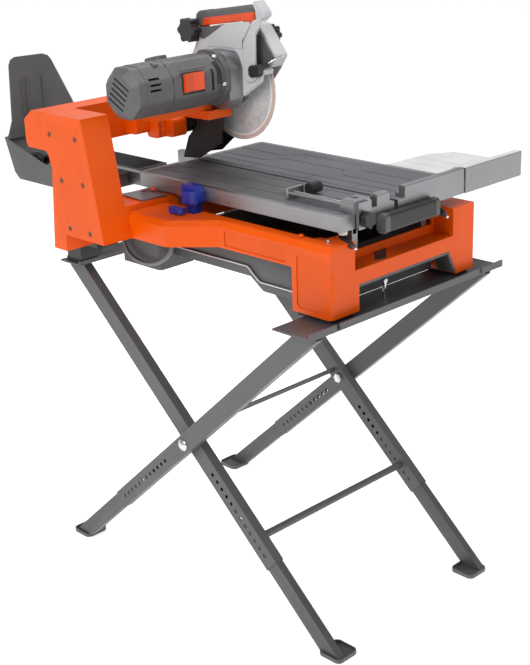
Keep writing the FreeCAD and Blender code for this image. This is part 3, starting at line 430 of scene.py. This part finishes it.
def lobed_knob(name, at, direction, lobes, outer, inner, thick, material, body):
    """A moulded hand knob: scalloped rim, dished face and a domed middle."""
    ahead, side, other = frame_on(direction)
    steps = lobes * LOBE_STEPS
    fade_start, fade_length = LOBES_FADE
    rings = [(0.62, 0.0), (0.94, 0.04), (1.0, 0.14), (1.0, 0.78), (0.92, 0.96), (0.6, 1.0),
             (0.5, 0.86), (0.3, 0.9), (0.05, 0.98)]
    points = []
    for scale, height in rings:
        for i in range(steps):
            angle = 2 * math.pi * i / steps
            wave = (math.cos(angle * lobes) + 1) / 2
            rim = inner + (outer - inner) * wave ** LOBE_SHAPE
            blend = min(1.0, max(0.0, (scale - fade_start) / fade_length))
            reach = scale * (inner * (1 - blend) + rim * blend)
            points.append(Vector(at) + ahead * (height * thick)
                          + side * (reach * math.cos(angle)) + other * (reach * math.sin(angle)))
    faces = ring_faces(len(rings), steps)
    return piece(name, points, faces, material, body, smooth=True)


# ---- pieces on the saw head -----------------------------------------------
def add_handle():
    """The grip's underside and ends, and the bracket at its far end."""
    prism("grip_underside", "y",
          [(-86, 142), (-80, 142), (58, 161.8), (66, 156), (80, 155), (96, 166), (98, 186),
           (84, 184.5), (-80, 161)], -34.0, 0.0, "orange_plastic", "head", 2.5)
    prism("grip_end_cap", "y",
          [(-103, 150), (-97.5, 141), (-82, 142), (-73, 159), (-71, 179.5), (-90, 177),
           (-101, 169)], -35.0, 1.0, "grey_plastic", "head", 3.5)
    prism("handle_end_bracket", "y",
          [(93, 200), (95, 209), (107, 211), (130, 186), (131, 176), (114, 164), (101, 169),
           (100, 188)], -33.5, -8.0, "light_guard", "head", 3.0)


def add_guard_details():
    """Ribs and panels on the guard, and a dark clip and rod whose use is a guess."""
    prism("knob_bracket", "y", [(-106, 118), (-84, 140), (-8, 149), (-44, 128), (-70, 114)],
          -41.0, -36.5, "grey_plastic", "head", 1.2)
    prism("guard_rib", "y",
          [(99, 166), (126, 176), (120, 154), (105, 134), (103, 77), (106, 35), (96, 27), (72, 24),
           (67, 60), (66, 112), (72, 124), (90, 150)], -44.5, -34.0, "light_guard", "head", 3.5)
    prism("guard_panel_ridge", "y",
          [(-46, 116), (2, 152), (8, 154), (84, 163), (92, 158), (70, 128), (60, 118), (60, 100),
           (-60, 96)], -40.5, -36.0, "light_guard", "head", 1.6)
    prism("guard_inner_liner", "y",
          [(62, 146), (80, 147), (131, 83), (112, 62), (92, 50), (70, 56)],
          -9.0, -6.5, "grey_plastic", "head", 1.0)
    prism("hose_clip", "y",
          [(88, 60), (94, 66), (122, 70), (127, 66), (126, 47), (120, 42), (96, 38), (89, 43)],
          -52.0, -36.0, "dark_plastic", "head", 4.0)
    tube("hose_clip_rod",
         [(116, -42, 58), (118, -30, 62), (122, -16, 70), (138, -4, 80), (152, 2, 86)],
         2.6, "chrome", "head")
    tube("hose_clip_sleeve", [(114, -44, 57), (117, -32, 61), (121, -19, 68)],
         4.6, "dark_plastic", "head")


MOTOR_Z = 36                            # the motor's axis, above the blade's
RECESS_INNER, RECESS_OUTER = 56.6, 58.8


def add_motor_details():
    """Screws, painted shade in the flange's recess, the knob behind the motor and the switch's
    bezels.
    """
    screw("flange_screw_upper", (31, -100, 88.5), (0.5, -0.25, 0.85), 4.2, "head")
    screw("flange_screw_lower", (61, -100, 27), (1, -0.25, -0.12), 4.2, "head")
    # Painted shade: a thin dark band along the flange's recess, standing in for the shade inside
    # it.
    arc = [math.radians(step) for step in range(-6, 49, 6)]
    rim = [(reach * math.cos(a), MOTOR_Z + reach * math.sin(a))
           for reach, angles in ((RECESS_OUTER, arc), (RECESS_INNER, arc[::-1])) for a in angles]
    prism("flange_recess_painted_shade", "y", rim, -119.0, -105.0, "dark_plastic", "head", 0.4)
    lobed_knob("brush_cap_knob", (-52, -205, 78), (-0.25, 0, 1), 6, 26, 21, 17,
               "grey_plastic", "head")
    turned("motor_cover_boss",
           [(8.5, -3), (8.5, 1.2), (7.4, 2.2), (3, 2.4), (2.4, 1.2), (0.4, 1.0)],
           (24, -276, 94), (0.38, 0, 0.92), "grey_plastic", "head")
    prism("switch_bezel_top", "x", [(-229, 73), (-155, 73), (-158, 77), (-232, 77)], 52, 58.5,
          "grey_plastic", "head", 1.2)
    prism("switch_bezel_base", "x", [(-229, 15), (-155, 15), (-155, 19), (-229, 19)], 52, 58.5,
          "grey_plastic", "head", 1.2)
    screw("pivot_screw", (-150, -57.5, -92), (0.2, -1, 0.1), 4.5, "head")


# ---- pieces on the base and the tables ------------------------------------
SLIDE_STOPS = (   # for each side, the routes of its sleeve and of its pin
    ("near", [(470, -152, -256), (490, -160, -258), (510, -167, -260)],
     [(506, -165.5, -259.6), (516, -169, -261), (524, -172, -262)]),
    ("far", [(470, 163, -252), (490, 156, -255), (506, 150, -258)],
     [(502, 151.5, -257.5), (512, 147.5, -260), (520, 144.5, -262)]),
)


def add_base_details():
    """The slide stops, screws, linings and trims of the base, the channel's peg, a painted
    highlight along the tub's lip, and painted shade in a slot and in a recess.
    """
    for side, sleeve, pin in SLIDE_STOPS:
        tube(f"{side}_slide_stop_sleeve", sleeve, 7.0, "dark_plastic", "machine_base")
        tube(f"{side}_slide_stop_pin", pin, 3.6, "chrome", "machine_base")
    screw("rail_screw_middle", (388, -196, -253.5), (0, 0, 1), 6, "machine_base", "orange_paint")
    screw("rail_screw_front", (462, -190, -253.5), (0, 0, 1), 4.5, "machine_base")
    # Painted shade: a thin dark plate laid in a recess of the base where shade falls.
    prism("recess_painted_shade", "z", [(447, -24), (447, 17), (494, -38), (487, -68)], -320.5, -318.0,
          "dark_plastic", "machine_base", 0.8)
    prism("arch_lining", "x",
          [(-137, -354.3), (178, -354.3), (203.5, -402), (203.5, -413), (199, -413),
           (174, -361.5), (-137, -361.5)], 452, 500.5, "grey_plastic", "machine_base", 1.2)
    prism("arch_gusset", "x", [(176, -353.6), (204.6, -353.6), (204.6, -407)], 450, 501.6,
          "orange_paint", "machine_base", 1.0)
    # Painted highlight: a thin pale tube along the tub's lower edges, where light catches its lip.
    tube("tub_lip_painted_highlight",
         [(-54, -189.5, -360), (80, -189.5, -360), (204, -189.5, -360), (210, -189.5, -362),
          (244, -189.5, -388), (250, -189.5, -390), (376, -189.5, -390)],
         1.6, "light_plastic", "machine_base")
    tube("channel_peg_sleeve", [(474, -20, -424), (474, -20, -400), (474, -20, -385)], 4.6,
         "chrome", "outer_frame")
    turned("channel_peg_head",
           [(5.0, -9.4), (6.8, -8.8), (6.8, -1.0), (5.6, 0.6), (2.6, 0.8), (2.2, 0.1), (0.3, 0.0)],
           (474, -20, -375.6), (0, 0, 1), "chrome", "outer_frame")
    # Painted shade: a thin dark sheet on the column's face where a slot falls into shade.
    prism("column_slot_painted_shade", "x",
          [(-273, -314), (-267.5, -314), (-267.5, -287), (-270, -285), (-273, -287)],
          -57.5, -56.0, "dark_plastic", "machine_base", 0.4)
    turned("ledge_button", [(8, -1.5), (8, 1.6), (6.8, 2.6), (3.0, 2.8), (2.4, 1.6), (0.4, 1.5)],
           (-122, -180, -232), (0, 0, 1), "orange_plastic", "machine_base")


def add_table_details():
    """The ends of the table's grip, a washer, the ruler's boss, the extension's front and painted
    shade in the gap beside it.
    """
    grip_end = [(488.5, -219), (496, -212.8), (510, -212.8), (517.2, -220), (517.2, -250),
                (510, -257.2), (496, -257.2), (488.5, -250)]
    prism("grip_end_near", "y", grip_end, -65.5, -50.0, "grey_plastic", "table", 1.4)
    prism("grip_end_far", "y", grip_end, 108.0, 122.5, "grey_plastic", "table", 1.4)
    turned("near_guide_washer",
           [(4, 0), (9, 0.4), (10, 1.6), (10, 7.2), (9, 8.6), (5, 9.0), (1, 9.0)],
           (479, -162, -232.2), (0, 0, -1), "light_plastic", "table")
    prism("extension_front_rail", "x",
          [(248, -231), (250, -233), (467, -233), (469, -231), (469, -174.5), (467, -172.8),
           (250, -172.8), (248, -174.5)], 489.4, 491.6, "alloy", "extension_table", 0.8)
    # Painted shade: a thin dark strip in the gap between the table and the extension's front rail.
    prism("extension_seam_painted_shade", "x",
          [(244.4, -232), (247.6, -232), (247.6, -173), (244.4, -173)],
          478, 490.6, "dark_plastic", "extension_table", 0.4)
    turned("far_ruler_boss", [(7, -1), (7, 0.8), (6.2, 1.6), (2.6, 1.7), (2.2, 0.9), (0.4, 0.8)],
           (478, 228, -172), (0, 0, 1), "alloy", "table")


# The drain hose's centre line, as in part.py; its sizes are in metres.
HOSE_ROUTE = [(-172, -246, -318), (-172, -246, -345), (-165, -246, -370), (-147, -246, -388),
              (-118, -246, -398), (-82, -246, -399), (-46, -246, -391), (-14, -246, -373),
              (14, -246, -345), (14, -246, -318)]
HOSE_DIAMETER = 0.010


def add_drain_hose():
    """The free hose between the two spigots under the tub."""
    curve = bpy.data.curves.new("drain_hose_line", "CURVE")
    curve.dimensions = "3D"
    curve.bevel_depth = HOSE_DIAMETER / 2
    curve.bevel_resolution = 6
    curve.resolution_u = 10
    line = curve.splines.new("NURBS")
    line.points.add(len(HOSE_ROUTE) - 1)
    for point, place in zip(line.points, HOSE_ROUTE):
        point.co = (*spot(*place), 1.0)
    line.order_u = 3
    line.use_endpoint_u = True
    curve.use_fill_caps = True
    curve.materials.append(MATERIALS["clear_hose"])
    hose = bpy.data.objects.new("drain_hose_line", curve)
    bpy.context.scene.collection.objects.link(hose)
    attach(hose, "machine_base")
    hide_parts("drain_hose")


# ---- stage ----------------------------------------------------------------
CAMERA_AT = Vector((2.33389, -2.17889, 1.76622))
CAMERA_AZIMUTH = math.radians(45.98)
CAMERA_ELEVATION = math.radians(20.56)
CAMERA_ROLL = math.radians(-2.0)
CAMERA_LENS = 70.57
CAMERA_SENSOR = 36.0
CAMERA_REACH = 50.0
FLOOR_SIZE = 90.0
FLOOR_DROP = 0.0005                     # keeps the floor clear of the feet's undersides
FLOOR_GLOW = 0.6
HORIZON_FADE = (0.06, 0.30)             # the heights, as sines, where the sky dims
SKY_LEVEL = 0.40
LIGHT_TARGET = (0, 0, 0.9)
LIGHTS = (                              # name, place, size, power in watts
    ("key", (1.0, -3.0, 3.2), (1.6, 1.6), 74),
    ("side", (3.4, 0.6, 2.0), (1.6, 2.4), 13),
    ("top", (-0.4, 0.6, 3.6), (2.0, 2.0), 60),
)


def camera_matrix():
    """The camera's place and turn, from the angles of the photograph."""
    cos_el = math.cos(CAMERA_ELEVATION)
    back = Vector((math.sin(CAMERA_AZIMUTH) * cos_el, -math.cos(CAMERA_AZIMUTH) * cos_el,
                   math.sin(CAMERA_ELEVATION)))
    level_right = (-back).cross(Vector((0, 0, 1))).normalized()
    level_up = level_right.cross(-back)
    right = level_right * math.cos(CAMERA_ROLL) + level_up * math.sin(CAMERA_ROLL)
    up = level_up * math.cos(CAMERA_ROLL) - level_right * math.sin(CAMERA_ROLL)
    turn = Matrix((right, up, back)).transposed().to_4x4()
    return Matrix.Translation(CAMERA_AT) @ turn


def area_light(name, place, size, energy):
    """A rectangular light that faces the machine."""
    data = bpy.data.lights.new(name, "AREA")
    data.shape = "RECTANGLE"
    data.size, data.size_y = size
    data.energy = energy
    light = bpy.data.objects.new(name, data)
    light.location = place
    aim = Vector(LIGHT_TARGET) - Vector(place)
    light.rotation_euler = aim.to_track_quat("-Z", "Y").to_euler()
    bpy.context.scene.collection.objects.link(light)


def make_world():
    """A white horizon that fades to a dimmer sky, as a studio cove does."""
    world = bpy.data.worlds.new("studio")
    world.use_nodes = True
    tree = world.node_tree
    place = tree.nodes.new("ShaderNodeTexCoord")
    parts = tree.nodes.new("ShaderNodeSeparateXYZ")
    fade = tree.nodes.new("ShaderNodeMapRange")
    set_range(fade, *HORIZON_FADE, 1.0, SKY_LEVEL)
    tree.links.new(place.outputs["Generated"], parts.inputs["Vector"])
    tree.links.new(parts.outputs["Z"], fade.inputs["Value"])
    tree.links.new(fade.outputs["Result"], tree.nodes["Background"].inputs["Strength"])
    tree.nodes["Background"].inputs["Color"].default_value = (1, 1, 1, 1)
    return world


def make_stage():
    """The camera, the pale floor, the world and the three lights."""
    camera = bpy.data.objects.new("camera", bpy.data.cameras.new("camera"))
    camera.data.lens = CAMERA_LENS
    camera.data.sensor_width = CAMERA_SENSOR
    camera.data.clip_end = CAMERA_REACH
    camera.matrix_world = camera_matrix()
    bpy.context.scene.collection.objects.link(camera)
    bpy.context.scene.camera = camera

    bpy.ops.mesh.primitive_plane_add(size=FLOOR_SIZE, location=(0, 0, -FLOOR_DROP))
    floor = bpy.context.object
    floor.name = "floor"
    s = Shader("studio_floor")
    cloud = s.noise(1.5, 3)
    pale = linear("#F8F8F8")
    floor.data.materials.append(s.finish(
        s.ramp(cloud, [(0.3, shade(pale, 0.99)), (0.7, pale)]), s.level(cloud, 0.8, 0.9),
        Emission_Color=(1.0, 1.0, 1.0, 1.0), Emission_Strength=FLOOR_GLOW))

    bpy.context.scene.world = make_world()
    bpy.context.scene.view_settings.view_transform = "Standard"
    for light in LIGHTS:
        area_light(*light)


dress_nodes()
add_handle()
add_guard_details()
add_motor_details()
add_base_details()
add_table_details()
add_drain_hose()
make_stage()
